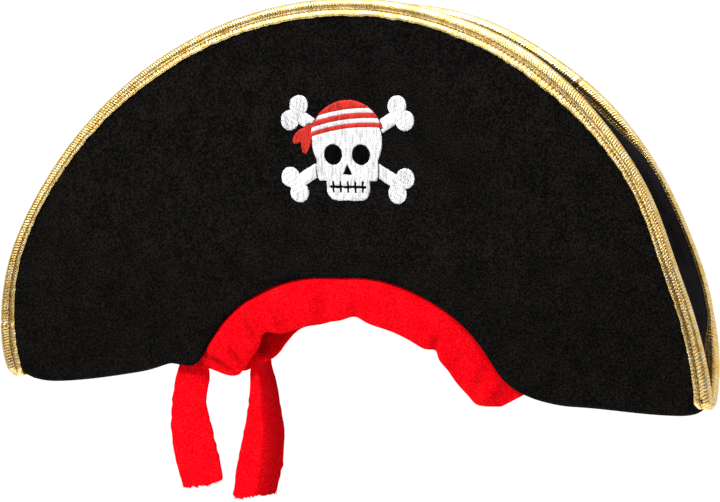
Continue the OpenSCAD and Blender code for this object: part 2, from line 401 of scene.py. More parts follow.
def gold_cloth():
    """Lame: a knit with metal foil on it, crinkled, with darker specks where the foil has cracked."""
    material, nodes, links, shader, place = new_material("gold_lame")
    patch = noise_node(nodes, links, place, 160, 3)
    gold = ramp_node(nodes, links, patch, [(0.3, (0.88, 0.54, 0.12)), (0.5, (0.97, 0.70, 0.26)),
                                           (0.7, (0.99, 0.84, 0.50))])
    speck = noise_node(nodes, links, place, 1500, 3)
    cracks = ramp_node(nodes, links, speck, [(0.34, (0.22, 0.11, 0.05)), (0.46, (1, 1, 1))])
    mix = nodes.new("ShaderNodeMix")
    mix.data_type = "RGBA"
    mix.blend_type = "MULTIPLY"
    mix.inputs["Factor"].default_value = 0.85
    links.new(gold, mix.inputs["A"])
    links.new(cracks, mix.inputs["B"])
    # painted shade between the ribs and along the groove, in a dark brown
    painted_rib_colour = mix_in_painted_shade(nodes, links, mix.outputs["Result"], (0.22, 0.10, 0.04))
    links.new(painted_rib_colour, shader.inputs["Base Color"])
    shader.inputs["Metallic"].default_value = 1.0
    shader.inputs["Roughness"].default_value = 0.31
    crinkle = noise_node(nodes, links, place, 620, 3)
    coarse = bump_node(nodes, links, crinkle, 0.40, 0.3)
    grain = noise_node(nodes, links, place, 2300, 2)
    links.new(bump_node(nodes, links, grain, 0.6, 0.14, coarse), shader.inputs["Normal"])
    return material


def thread_cloth(name, dark, light, rough, shine=0.25, sheen=0.1):
    """Embroidery thread: fine twisted strands, with darker streaks painted in as the shade between the rows.
    """
    material, nodes, links, shader, place = new_material(name)
    # painted shade: streaks drawn out along Z stand for the shade between rows
    tone = noise_node(nodes, links, place, 950, 3, (1, 1, 0.16))
    links.new(ramp_node(nodes, links, tone, [(0.36, dark), (0.52, light)]), shader.inputs["Base Color"])
    shader.inputs["Roughness"].default_value = rough
    shader.inputs["Specular IOR Level"].default_value = shine
    shader.inputs["Sheen Weight"].default_value = sheen
    strand = noise_node(nodes, links, place, 5200, 2)
    links.new(bump_node(nodes, links, strand, 0.3, 0.08), shader.inputs["Normal"])
    return material


def foam_material():
    """Foam board: closed cells, off-white and slightly speckled."""
    material, nodes, links, shader, place = new_material("foam_board")
    cells = nodes.new("ShaderNodeTexVoronoi")
    cells.inputs["Scale"].default_value = 1100
    links.new(place, cells.inputs["Vector"])
    colour = ramp_node(nodes, links, cells.outputs["Distance"],
                       [(0.1, (0.04, 0.04, 0.045)), (0.6, (0.075, 0.075, 0.08))])
    links.new(colour, shader.inputs["Base Color"])
    shader.inputs["Roughness"].default_value = 0.85
    links.new(bump_node(nodes, links, cells.outputs["Distance"], 0.5, 0.3), shader.inputs["Normal"])
    return material


BLACK_VELOUR = pile_cloth("black_velour", (0.0016, 0.0015, 0.0014), (0.0044, 0.0040, 0.0036),
                          (0.0105, 0.0096, 0.0086), 1.0, 0.004, (0.95, 0.9, 0.8))
RED_VELOUR = pile_cloth("red_velour", (0.74, 0.0, 0.0050), (0.87, 0.0005, 0.0065),
                        (0.96, 0.008, 0.012), 1.0, 0.06, (1.0, 0.16, 0.12), 1000, 0.6)
LINING = plain_weave("lining", (0.0085, 0.0065, 0.0085), (0.0150, 0.0120, 0.0150), 0.75)
CROWN_CLOTH = plain_weave("crown_cloth", (0.008, 0.0075, 0.009), (0.017, 0.016, 0.019), 0.7, 1100)
GOLD = gold_cloth()
FOAM = foam_material()
CORD = plain_weave("filler_cord", (0.55, 0.50, 0.42), (0.75, 0.71, 0.62), 0.8, 900)
WHITE_THREAD = thread_cloth("white_thread", (0.56, 0.56, 0.59), (0.86, 0.86, 0.87), 0.5)
RED_THREAD = thread_cloth("red_thread", (0.42, 0.005, 0.004), (0.70, 0.026, 0.011), 0.5)
BLACK_THREAD = thread_cloth("black_thread", (0.0015, 0.0013, 0.0013), (0.005, 0.0045, 0.0045), 0.9, 0.0, 0.0)


# ---- the layers of a half
COLUMNS = 460
HEM_ROWS = 12
FACE_ROWS = 84
TIP_CORNER_Z = {RIGHT: 1.5, LEFT: 7.0}
TIP_CORNER_X = {RIGHT: 246, LEFT: 242}
CORNER_RUN = {RIGHT: 18, LEFT: 30}


def arc(cx, cz, radius, start, end, count):
    angle = np.radians(np.linspace(start, end, count))
    return np.stack([cx + radius * np.cos(angle), cz + radius * np.sin(angle)], axis=-1)


def corner_path(side):
    """The rounded lower corner of one wing, from the tip inwards."""
    t = np.linspace(0, 1, 24)[:, None]
    tip = np.array([TIP_CORNER_X[side], TIP_CORNER_Z[side]])
    knee = np.array([TIP_CORNER_X[side] - 3, -FOLD_DROP])
    run = np.array([TIP_CORNER_X[side] - CORNER_RUN[side], -FOLD_DROP])
    path = (1 - t) ** 2 * tip + 2 * t * (1 - t) * knee + t * t * run
    return path * [side, 1]


def lower_path(count):
    """The lower edge of a half, from the right tip along the wing, round the arch and on to the left tip."""
    touch = math.degrees(math.atan2(FILLET_Z - ARCH_CZ, FILLET_X))
    pieces = [corner_path(RIGHT),
              arc(FILLET_X, FILLET_Z, FILLET_R, 270, 180 + touch, 60),
              arc(0, ARCH_CZ, ARCH_R, touch, 180 - touch, 160),
              arc(-FILLET_X, FILLET_Z, FILLET_R, -touch, -90, 60),
              corner_path(LEFT)[::-1]]
    path = np.concatenate(pieces)
    around = np.degrees(np.arctan2(path[:, 1] - ARCH_CZ, path[:, 0]))
    push = bumps(around, ARCH_WAVES)
    path = path + np.stack(polar(push, around), axis=-1)
    length = np.concatenate([[0], np.cumsum(np.hypot(*np.diff(path, axis=0).T))])
    keep = np.concatenate([[True], np.diff(length) > 1e-6])
    at = np.linspace(0, length[-1], count)
    return np.stack([np.interp(at, length[keep], path[keep, k]) for k in (0, 1)], axis=-1)


def upper_path(side, edge_in, count):
    """The line that a layer reaches under the binding, from the right tip to the left."""
    first = math.degrees(math.asin((TIP_CORNER_Z[RIGHT] + 2) / BRIM_R))
    last = 180 - math.degrees(math.asin((TIP_CORNER_Z[LEFT] + 2) / BRIM_R))
    angle = np.linspace(first, last, count)
    radius = edge_radius(side, angle) - edge_in * slimness(side, angle)
    return np.stack(polar(radius, angle), axis=-1)


def layer_grid(side, out, inner_out, fold_y, start_up, edge_in, rippled=1.0):
    """One layer of a half. At the arch its edge turns over from the distance inner_out to out. Along the
    wings it turns under to the distance fold_y from the centre plane."""
    low, high = lower_path(COLUMNS), upper_path(side, edge_in, COLUMNS)
    reach = np.linalg.norm(high - low, axis=1)
    toward = (high - low) / reach[:, None]
    wing = smooth(116, 158, np.abs(low[:, 0]))
    turn = np.linspace(0, 1, HEM_ROWS + 1)[:, None]
    half = (out - inner_out) / 2
    arch_n = (out + inner_out) / 2 + half * np.sin(np.pi * (turn - 0.5))
    arch_up = start_up + abs(half) * (1 - np.cos(np.pi * (turn - 0.5)))
    fold_depth = np.minimum(5.0, 0.8 * reach)
    wing_up = start_up + fold_depth * (1 - np.cos(np.pi / 2 * turn))
    up = (1 - wing) * arch_up + wing * wing_up
    x, z = (low[:, k] + toward[:, k] * up for k in (0, 1))
    flat_y = stand(x, z) + out
    wing_y = fold_y + (flat_y - fold_y) * np.sin(np.pi / 2 * turn)
    hem_y = (1 - wing) * (stand(x, z) + arch_n) + wing * wing_y
    share = np.linspace(0, 1, FACE_ROWS + 1)[1:, None]
    face_up = up[-1] + (reach - up[-1]) * share
    fx, fz = (low[:, k] + toward[:, k] * face_up for k in (0, 1))
    settle = smooth(0, 0.06, share)
    face_y = stand(fx, fz) + out + rippled * settle * ripple(side, fx, fz)
    return warp(side, np.concatenate([x, fx]), np.concatenate([hem_y, face_y]), np.concatenate([z, fz]))


def make_layer(node, name, side, thickness, material, slot, *where, **more):
    grid = layer_grid(side, *where, **more)
    obj = shell(name, grid, thickness, material, flip=(side == BACK) != (where[0] < 0))
    finish_half_piece(obj, node.split("_")[0] + "_half", node)
    return obj


def finish_half_piece(obj, body, *nodes):
    """Hides the frame's nodes for a piece of a half and bakes its transform into its mesh."""
    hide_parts(*nodes)
    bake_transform(obj)


def make_halves():
    for side, word in HALVES:
        cover = make_layer(word + "_cover", word + "_cover_cloth", side, 0.7, BLACK_VELOUR, "black_velour",
                           FACE_OUT, LINING_OUT + 0.3, 0.15, 0.0, 4.0)
        lining = make_layer(word + "_lining", word + "_lining_cloth", side, 0.5, LINING, "lining",
                            LINING_OUT, LINING_OUT + 0.6, 0.3, 1.6, 4.0)
        board = make_layer(word + "_foam", word + "_foam_board", side, 2.2, FOAM, "foam_board",
                           1.3, -1.0, 1.9, 2.2, 6.0, rippled=0.3)


# ---- binding
BINDING_STEP = 0.37
RIB_PITCH = 1.9
RIB_H = 0.12
STITCH_PITCH = 3.2
INNER_FLANGE = 1.8
# the flange's points, as shares of its width and heights above the cloth
FLANGE = ((0.30, 0.9), (0.62, 1.0), (0.86, 0.95), (1.0, 0.5))
# the angle at which the ends of the gold strip are sewn together
BINDING_SEAM = {FRONT: 172.0, BACK: 53.0}
# columns of a binding ring: the groove, the front flange's hidden edge, and the first one seen at the back
GROOVE_COL = 19
EDGE_COL = GROOVE_COL + len(FLANGE) + 1
INNER_COL = EDGE_COL + 5


def roll_half(side, angle):
    return (0.295 * binding_width(angle) + 0.25) * slimness(side, angle)


def joined(*parts):
    """Columns of rings side by side. Each part is a number or has one or more columns."""
    rows = max(np.shape(part)[0] for part in parts if np.ndim(part))
    return np.concatenate([part + np.zeros((rows, 1)) for part in parts], axis=1)


def binding_section(side, angle):
    """The binding's section at each angle: distances out from the brim's edge and from the middle surface."""
    along = np.radians(angle) * BRIM_R
    roll_a = roll_half(side, angle)
    roll_n = 0.78 * roll_a + 0.75
    ragged = noise_table(11 + side, 400, 4)
    edge = binding_width(angle) + 0.35 * noise_at(ragged, along / 6, 0 * along)
    edge = edge + 0.25 * noise_at(ragged, along / 2.1, 2 + 0 * along)
    groove = 1.9 * roll_a + 0.35
    stitch = np.abs(np.cos(np.pi * along / STITCH_PITCH)) ** 5
    turn = np.radians(np.linspace(0, 150, GROOVE_COL))[None, :]
    roll_rho = -roll_a + roll_a * np.cos(turn)
    roll_out = roll_n * np.sin(turn)
    roll_out = np.where(turn > np.pi / 2, np.maximum(roll_out, FACE_OUT + 0.5), roll_out)
    flange_rho = [-(groove + share * (edge - groove)) for share, _ in FLANGE]
    flange_out = [FACE_OUT + height for _, height in FLANGE]
    outer_rho = joined(roll_rho, -groove, *flange_rho, -edge + 0.1)
    outer_out = joined(roll_out, FACE_OUT + 0.45 - 0.25 * stitch, *flange_out, FACE_OUT - 0.25)
    inner_edge = groove + INNER_FLANGE * slimness(side, angle)
    inner_edge = inner_edge + 0.3 * noise_at(ragged, along / 5, 3 + 0 * along)
    inner_middle = groove + 0.55 * (inner_edge - groove)
    inner_rho = joined(-inner_edge + 0.1, -inner_edge, -inner_middle, -groove, roll_rho[:, :0:-1])
    inner_out = joined(LINING_OUT + 0.25, LINING_OUT - 0.35, LINING_OUT - 0.9,
                       LINING_OUT - 0.35 + 0.3 * stitch, -roll_out[:, :0:-1])
    slot_rho = -roll_a * 1.2
    rho = joined(outer_rho, slot_rho, slot_rho, inner_rho)
    out = joined(outer_out, FACE_OUT - 0.25, LINING_OUT + 0.25, inner_out)
    return rho, out


def binding_ribs(side, angle, rho, out):
    """Slanting ribs with fine crinkles: their height, and the painted shade between ribs and in the groove at
    each point.
    """
    along = np.radians(angle) * BRIM_R
    steps = np.hypot(np.diff(rho, axis=1, prepend=rho[:, :1]), np.diff(out, axis=1, prepend=out[:, :1]))
    section = np.cumsum(steps, axis=1)
    sway = noise_at(noise_table(23 + side, 500, 8), along / 5, section / 7)
    strength = 0.75 + 0.35 * noise_at(noise_table(31 + side, 300, 6), along / 9, section / 8)
    ribs = np.cos(2 * np.pi * (along + 0.4 * section) / RIB_PITCH + 0.9 * sway)
    crinkle = noise_at(noise_table(41 + side, 900, 40), along / 1.1, section / 1.1)
    tip = 1 - smooth(0, 26, np.minimum(angle, 180 - angle))
    from_seam = angle - BINDING_SEAM[side]
    height = RIB_H * strength * ribs + (0.03 + 0.02 * tip) * crinkle
    height -= 0.40 * np.exp(-((from_seam / 0.22) ** 2))
    height += 0.25 * np.exp(-(((from_seam - 0.7) / 0.35) ** 2))
    # painted shade: darkest between ribs, weaker past the groove, and a painted dark line along the groove
    # itself
    between = 0.8 * strength * np.clip(-ribs, 0, 1)
    between[:, GROOVE_COL:] *= 0.4
    between[:, GROOVE_COL] = 1.0
    between[:, GROOVE_COL - 1] = 0.6
    column = np.arange(rho.shape[1])
    shown = (column < EDGE_COL) | (column >= INNER_COL)
    return height * shown, between * shown


def binding_rings(side):
    """The binding's rings: a padded roll, a stitched groove and a flat flange whose edge turns down, the
    same again but narrower on the lining, and a slot between that holds the layers. The second result
    is the painted shade between the cloth's ribs and along the groove."""
    count = int(math.pi * BRIM_R / BINDING_STEP)
    angle = np.linspace(0, 180, count)[:, None]
    rho, out = binding_section(side, angle)
    height, painted_rib_shade = binding_ribs(side, angle, rho, out)
    # on the roll the ribs stand out from its middle, and on a flange straight out from the cloth
    push = np.stack([rho + roll_half(side, angle), out], axis=-1)
    push /= np.maximum(np.linalg.norm(push, axis=-1, keepdims=True), 1e-6)
    column = np.arange(rho.shape[1])
    flat = smooth(GROOVE_COL, GROOVE_COL + 2, column) * (1 - smooth(INNER_COL - 1, INNER_COL + 1, column))
    away = np.where(column < EDGE_COL + 2, 1, -1)
    rho = rho + height * push[..., 0] * (1 - flat)
    out = out + height * (push[..., 1] * (1 - flat) + flat * away)
    # both ends taper to a close
    taper = smooth(-1.0, 0.9, np.minimum(angle, 180 - angle))
    middle = -0.42 * binding_width(angle)
    rho = middle + (rho - middle) * taper
    out = out * taper
    radius = edge_radius(side, angle) + rho
    x, z = polar(radius, angle)
    return warp(side, x, np.maximum(stand(x, z) + out, 0.1), z), painted_rib_shade


def filler_rings(side):
    """The soft cord inside the roll, laid in slow twists."""
    count = int(math.pi * BRIM_R / 2)
    angle = np.linspace(0.6, 179.4, count)[:, None]
    middle = roll_half(side, angle)
    turn = full_turn(14)
    strand = 1 + 0.10 * np.cos(3 * turn + np.radians(angle) * BRIM_R / 4)
    rho = -middle + 0.55 * middle * strand * np.cos(turn)
    out = 0.62 * middle * strand * np.sin(turn)
    radius = edge_radius(side, angle) + rho
    x, z = polar(radius, angle)
    return warp(side, x, stand(x, z) + out, z)


def make_bindings():
    for side, word in HALVES:
        rings, painted_rib_shade = binding_rings(side)
        tape = tube(word + "_binding_tape", rings, GOLD)
        # the painted shade goes on the tape as an attribute
        mark_painted_shade(tape, painted_rib_shade)
        finish_half_piece(tape, word + "_half", word + "_binding")
        cord = tube(word + "_edge_filler", filler_rings(side), CORD)
        finish_half_piece(cord, word + "_half", word + "_edge_cord")


# where the pleats lie: in from the tip, and up from the fold line
PLEATS_IN = {RIGHT: 4.5, LEFT: 8.5}
PLEATS_UP = {RIGHT: 0.9, LEFT: 4.2}


def make_tip_tucks():
    """Under each tip the gold cloth turns from one half to the other in small pleats."""
    for side, word in WINGS:
        turn = np.linspace(-0.12, 1.12, 60)[:, None] * np.pi
        around = full_turn(28)
        pleat = 1 + 0.10 * np.cos(18 * turn) + 0.12 * noise_at(noise_table(61, 40, 40), turn * 9, around * 3)
        radius_x = 4.2 * pleat
        radius_r = 1.5 * pleat
        ring = 2.9 + radius_r * np.cos(around)
        x = side * (BRIM_R - PLEATS_IN[side] + radius_x * np.sin(around) + 0 * turn)
        y = -ring * np.cos(turn)
        z = PLEATS_UP[side] - 0.9 * ring * np.sin(turn)
        tuck = tube(word + "_tip_pleats", np.stack([x, y, z], axis=-1), GOLD)
        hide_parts(word + "_tip_tuck")
        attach(tuck, "fold_seam")


# how far the seam rolls run on past the start of the arch
SEAM_IN = 28


def make_wing_seams():
    """The rolled seam allowance inside the fold, along each wing and a little way up the arch."""
    for side, word in WINGS:
        x = side * np.linspace(FILLET_X - SEAM_IN, BRIM_R - 20, 120)[:, None]
        inward = np.maximum(FILLET_X - np.abs(x), 0)
        rise = FILLET_R - np.sqrt(FILLET_R ** 2 - inward ** 2)
        around = full_turn(18)
        pucker = 1 + 0.07 * np.sin(x / 1.9) + 0.05 * np.sin(x / 0.83)
        ends = smooth(SEAM_IN + 1, SEAM_IN - 4, inward)
        y = (3.4 + 1.0 * smooth(0, 20, inward)) * pucker * np.cos(around) * ends
        z = -FOLD_DROP + 3.0 + rise + 1.5 * pucker * np.sin(around)
        points = warp(1, x + 0 * around, y, z + 0 * x)
        seam = tube(word + "_seam_roll", points, BLACK_VELOUR)
        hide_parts(word + "_wing_seam")
        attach(seam, "fold_seam")


# ---- headband, ties and tails
BAND_TOP_R = ARCH_R + BAND_HEM - 1.5
BAND_LOW_R = 105
# how far the band's lower edge is from a circle of that radius, as (angle, spread, height)
BAND_LOW_WAVES = {
    FRONT: ((25, 4, 19.5), (41, 6, -2.3), (54.5, 2.4, 3.5), (85.5, 4.2, 3.5),
            (120.8, 4.2, 6.8), (137, 4, -1.2), (147, 4, 26)),
    BACK: ((30, 5, 28), (90, 16, 3.5), (114, 6, 3.5), (127, 6, -4.5), (146.5, 5, 27)),
}
BAND_ENDS = {FRONT: (27.4, 145), BACK: (30, 145)}
BAND_T = 2.5
# creases in the band as (angle, radius, spread across, spread along, depth, lean); the depth also sets each
# crease's painted shade
BAND_CREASES = {
    FRONT: ((140.4, 120, 1.3, 13, 3.8, 0.10), (137.2, 116, 1.6, 11, -1.2, 0.05),
            (134.6, 111, 1.4, 8, 2.8, -0.08), (130, 117, 2.0, 12, -1.0, 0.06),
            (124, 118, 1.2, 10, 2.0, -0.06), (113, 112, 2.6, 9, 1.2, 0.10),
            (97, 114, 2.6, 8, 1.0, -0.12), (85, 112, 1.5, 6, 1.6, 0.0),
            (70, 116, 3.2, 9, 0.9, 0.14), (55, 112, 1.4, 8, 2.0, 0.05),
            (46, 112, 2.2, 10, 1.1, -0.12), (37, 117, 1.8, 10, 1.6, 0.15),
            (31, 124, 1.4, 9, 1.6, 0.1)),
    BACK: ((137, 120, 2.0, 12, 2.0, 0.1), (125, 114, 2.0, 10, 1.6, -0.1),
           (98, 114, 3.0, 9, 1.0, 0.1), (72, 114, 3.0, 9, 1.0, -0.1),
           (50, 116, 2.4, 10, 1.3, 0.1)),
}
BAND_SWELL = 2.6
PAINTED_CREASE_SHADE = 0.13
TOP_STITCH_IN = 5.5


def band_middle(x, z):
    return np.maximum(BAND_T + 0.5, stand(x, z) - 4.0)


def headband_rings(side):
    """A headband's rings, and the painted shade on its outer face in creases and along the stitch line."""
    first, last = BAND_ENDS[side]
    angle = np.linspace(first, last, 420)[:, None]
    low = BAND_LOW_R + bumps(angle, BAND_LOW_WAVES[side])
    ends = smooth(0, 4, angle - first) * smooth(0, 4, last - angle)
    # once round the section: down the outer face, round the lower edge and up the inner face
    go = np.linspace(0, 2 * np.pi, 64, endpoint=False)[None, :]
    across = np.sign(np.cos(go)) * np.abs(np.cos(go)) ** 0.75
    radius = (BAND_TOP_R + low) / 2 + (BAND_TOP_R - low) / 2 * across
    thick = BAND_T * (0.55 + 0.45 * smooth(1.0, 0.2, across)) * (0.45 + 0.55 * ends)
    out = thick * np.sign(np.sin(go)) * np.abs(np.sin(go)) ** 0.6
    outer = np.sin(go) > 0
    depth = (BAND_TOP_R - radius) / np.maximum(BAND_TOP_R - low, 1)
    puff = 1.3 * np.sin(np.pi * np.clip(depth, 0, 1)) ** 0.8
    out = out + np.where(outer, puff, 0.35 * puff) * ends
    painted_shade = 0.0 * radius * angle
    for middle, at_r, across_deg, along_mm, deep, lean in BAND_CREASES[side]:
        line = (angle - middle) - lean * (radius - at_r)
        crease = np.exp(-((line / across_deg) ** 2) - ((radius - at_r) / along_mm) ** 2)
        out = out - deep * crease
        # each crease is painted darker: painted shade
        painted_shade += PAINTED_CREASE_SHADE * deep * crease
    wrinkle = noise_at(noise_table(71 + side, 90, 30), angle / 2.2, radius / 5.5)
    broad = noise_at(noise_table(75 + side, 60, 30), angle / 5.5, radius / 13)
    out = out + np.where(outer, 1, 0.5) * (0.22 * wrinkle + 0.55 * broad) * np.clip(4 * depth, 0, 1)
    # below the edge of the black cloth the band swells out to be level with it
    edge = ARCH_R + bumps(angle, ARCH_WAVES)
    out = out + BAND_SWELL * smooth(edge + 0.5, edge - 3.5, radius) * ends
    stitch = np.exp(-(((radius - edge + TOP_STITCH_IN) / 0.7) ** 2))
    stitch = stitch * (0.6 + 0.4 * np.cos(2 * np.pi * angle / 1.3))
    out = out - 0.5 * stitch * outer
    # the stitch line is painted darker too: painted shade
    painted_shade += 0.25 * stitch
    x, z = polar(radius, angle, ARCH_CZ)
    closing = 1 - ends
    middle = band_middle(x, z) * (1 - 0.35 * closing)
    return warp(side, x, np.maximum(middle + out, 0.12), z), painted_shade * outer


def make_headbands():
    for side, word in HALVES:
        rings, painted_shade = headband_rings(side)
        band = tube(word + "_band_pad", rings, RED_VELOUR)
        mark_painted_shade(band, painted_shade)
        finish_half_piece(band, word + "_half", word + "_headband")


# a tail's centre line and edges from its root to its end: z, left edge x, right edge x, y
LEFT_TAIL = ((17, -119, -100, -1.0), (4, -123.5, -99.8, -1.0), (-12, -125.8, -101.8, -1.4),
             (-28, -126.2, -96.6, -0.8), (-46, -123.4, -92.2, 0.6), (-67, -115.8, -88.4, 1.2))
RIGHT_TAIL = ((22, -68.5, -61.5, -1.0), (4, -68.8, -57.2, -1.0), (-14, -69.8, -52.6, -1.2),
              (-32, -72.8, -49.4, -0.4), (-51, -77.0, -50.4, 0.8), (-73, -79.4, -54, 1.4))
TAIL_T = 2.0


def tail_grid(points, slant, seed, roll_back):
    """One face of a tail. The end is cut by hand, at a slant, and the right edge rolls back."""
    points = np.array(points, float)
    u = np.linspace(0, 1, 110)[:, None]
    s = np.linspace(0, 1, 44)[None, :]
    z, left, right, y = (eased(u, np.linspace(0, 1, len(points)), points[:, k]) for k in range(4))
    noise = noise_table(seed, 60, 40)
    left = left + 0.35 * noise_at(noise, u * 26, 0 * u)
    right = right + 0.45 * noise_at(noise, u * 22, 9 + 0 * u)
    x = left + (right - left) * s
    ragged = 0.9 * noise_at(noise, 20 + 0 * s, s * 9) + 0.7 * noise_at(noise, 22 + 0 * s, s * 24)
    rounded = 2.6 * (2 * s - 1) ** 6
    z = z + smooth(0.72, 1.0, u) * (slant * (s - 0.5) + ragged + rounded)
    cup = roll_back * smooth(0.55, 1.0, s) ** 1.3
    cup = cup + 1.2 * (2 * s - 1) ** 2 * np.sin(np.pi * np.clip(1.4 * u, 0, 1))
    drape = 0.7 * np.sin(2.2 * np.pi * s + 3 * u) * (1 - u) + 0.35 * noise_at(noise, u * 9, 20 + s * 4)
    root = 1 - smooth(0, 0.16, u)
    gather = 0.8 * root * np.cos(s * 5 * np.pi)
    return np.stack([x, y + cup + drape + gather, z], axis=-1)


def fray(rng, name, grid, count):
    """Short loose fibres along a tail's cut end."""
    rings = []
    edge = grid[-1]
    for _ in range(count):
        k = rng.uniform(0, len(edge) - 1.001)
        base = edge[int(k)] + (edge[int(k) + 1] - edge[int(k)]) * (k % 1) + [0, rng.uniform(0, 1.6), 0.6]
        step = np.array([rng.normal(0, 0.35), rng.normal(0, 0.3), -rng.uniform(0.25, 0.6)])
        bend = np.array([rng.normal(0, 0.12), rng.normal(0, 0.12), 0.02])
        rings.append([base + step * j + bend * j * j for j in range(4)])
    return thread_mesh(name, np.array(rings), 0.11, RED_VELOUR)


def make_tails():
    for name, points, slant, seed, roll_back, flat in (
            ("left_tail", LEFT_TAIL, 6.0, 81, 0.8, (0.029, 0.084)),
            ("right_tail", RIGHT_TAIL, 3.0, 85, 13.5, (0.030, 0.093))):
        grid = tail_grid(points, slant, seed, roll_back)
        tail = shell(name + "_cloth", grid, TAIL_T, RED_VELOUR)
        # painted shade: the rolled-back right edge is coloured darker, the more so the further it rolls back
        painted_edge_shade = smooth(0.55, 0.95, np.linspace(0, 1, grid.shape[1]))
        mark_painted_shade(tail, np.tile(0.04 * roll_back * painted_edge_shade, (grid.shape[0], 1)))
        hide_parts(name)
        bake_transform(tail)
        fibres = fray(np.random.default_rng(seed), name + "_fray", grid, 70)
        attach(fibres, name)


TIE_ENDS = ((-106, 12, 17), (-62, 18, 13))


def make_side_tie():
    """The cloth that the tails hang from: one thin wrinkled roll, a little thicker at each tail."""
    go = np.linspace(0, 1, 120)[:, None]
    around = full_turn(30)
    (x0, z0, w0), (x1, z1, w1) = TIE_ENDS
    low, high = x0 - w0 / 2, x1 + w1 / 2
    x = low + (high - low) * go
    z = z0 + (z1 - z0) * smooth(x0, x1, x)
    near = np.maximum(1 - smooth(0.3 * w0, 0.75 * w0, np.abs(x - x0)),
                      1 - smooth(0.3 * w1, 0.75 * w1, np.abs(x - x1)))
    cap = smooth(0, 2.5, x - low) * smooth(0, 2.5, high - x)
    wrinkle = 1 + 0.10 * np.sin(x / 1.3 + 2 * np.sin(around)) + 0.06 * np.sin(x / 0.7 + around)
    radius_y = (0.9 + 0.5 * near) * wrinkle * cap
    radius_z = (2.2 + 0.2 * near) * wrinkle * cap
    y = 0.9 + radius_y * np.cos(around)
    rings = np.stack([x + 0 * around, y, z + radius_z * np.sin(around)], axis=-1)
    tie = tube("tie_cloth", rings, RED_VELOUR)
    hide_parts("side_tie")
    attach(tie, "fold_seam")


# ---- crown
def angle_at(radius, centre_z, z):
    """The angle, in degrees, at which a circle about the point (0, centre_z) is at a height."""
    return math.degrees(math.atan2(z - centre_z, math.sqrt(radius ** 2 - (z - centre_z) ** 2)))


def crown_grid(side):
    """Gathered cloth from the top of the headband to the crown's middle strip."""
    columns = 300
    share = np.linspace(0, 1, columns)[None, :]
    band_r = ARCH_R + BAND_HEM
    cross_z = (CROWN_R ** 2 - CROWN_CZ ** 2 - band_r ** 2 + ARCH_CZ ** 2) / (2 * (ARCH_CZ - CROWN_CZ))
    start_low = angle_at(band_r, ARCH_CZ, cross_z)
    start_high = angle_at(CROWN_R, CROWN_CZ, cross_z)
    low_angle = np.radians(start_low + (180 - 2 * start_low) * share)
    high_angle = np.radians(start_high + (180 - 2 * start_high) * share)
    low_r, high_r = band_r - 3, CROWN_R - 1
    low_x, low_z = low_r * np.cos(low_angle), ARCH_CZ + low_r * np.sin(low_angle)
    high_x, high_z = high_r * np.cos(high_angle), CROWN_CZ + high_r * np.sin(high_angle)
    row = np.linspace(0, 1, 70)[:, None]
    rise = np.sin(np.pi / 2 * row)
    x, z = low_x + (high_x - low_x) * rise, low_z + (high_z - low_z) * rise
    hem_y = np.maximum(stand(x, z) - 4.6, GUSSET_HALF_W - 4)
    y = hem_y + (GUSSET_HALF_W - hem_y) * (1 - np.cos(np.pi / 2 * row)) ** 1.3
    gather = np.sin(150 * share + 3 * np.sin(31 * share) + 2 * np.sin(67 * share))
    fold = (0.35 + 0.75 * row ** 2 + 0.5 * (1 - row) ** 4) * gather
    narrow = smooth(0, 0.08, share) * smooth(0, 0.08, 1 - share)
    y = y + fold * narrow * 0.8 + 0.5 * noise_at(noise_table(91 + side, 50, 60), row * 7, share * 40) * narrow
    return warp(side, x, np.maximum(y, 1.0), z)


def make_crown_panels():
    for side, word in HALVES:
        grid = crown_grid(side)
        panel = shell(word + "_crown_cloth", grid, 0.8, CROWN_CLOTH, flip=side == FRONT)
        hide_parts(word + "_crown")
        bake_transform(panel)


def make_crown_strip():
    """The strip over the top of the crown, between the two panels."""
    angle = np.radians(np.linspace(-4, 184, 300))[:, None]
    s = np.linspace(-1, 1, 26)[None, :]
    crowned = 1.6 * (1 - s ** 2) - 1.6
    pucker = 0.35 * np.sin(angle * 75 + 3 * np.sin(angle * 11)) * np.abs(s) ** 3
    seam = -0.5 * np.exp(-(((np.abs(s) - 0.86) / 0.06) ** 2))
    radius = CROWN_R + crowned + pucker + seam
    x, z = radius * np.cos(angle), CROWN_CZ + radius * np.sin(angle)
    x, z, y = np.broadcast_arrays(x, z, s * (GUSSET_HALF_W + 0.4))
    grid = warp(1, x, y, z)
    gusset = shell("crown_strip", grid, 1.2, CROWN_CLOTH, flip=True)
    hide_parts("crown_gusset")
    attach(gusset, "fold_seam")


# ---- emblem
EMBLEM_X = (skull_low[0] + skull_high[0]) / 2 - 0.4
EMBLEM_Z = skull_high[2] - 13
BONE_ANGLE = 31.5
BONE_HALF = 44
BONE_W = 8.5
KNOB_R = 6.4
KNOB_APART = 5.6
SKULL_R = 24.5
SKULL_UP = 5
JAW_W = 31
JAW_LOW = -32
JAW_CORNER = 7
SCARF_R = 26.2
SCARF_EDGE = 12.5
SCARF_KNOT = (-26, 12)
STRIPE_W = 3.0
STRIPE_UP = (4.2, 10.6)
EYE_R = 6.4
EYE_X = 9.8
EYE_Z = -3.5
TOOTH_PITCH = 5.2
TEETH = 5
MOUTH_Z = -24
MOUTH_H = 7
NOSE_Z = -16
NOSE_W = 6.4
NOSE_H = 6.5
THREAD_R = 0.30
THREAD_PITCH = 0.47
UNDER_R = 0.36
UNDER_PITCH = 0.6
UNDER_LONGEST = 7


def in_circle(x, z, cx, cz, radius):
    return radius - np.hypot(x - cx, z - cz)


def in_box(x, z, cx, cz, half_w, half_h, corner=0.0):
    qx, qz = np.abs(x - cx) - half_w + corner, np.abs(z - cz) - half_h + corner
    outside = np.hypot(np.maximum(qx, 0), np.maximum(qz, 0))
    return corner - outside - np.minimum(np.maximum(qx, qz), 0)


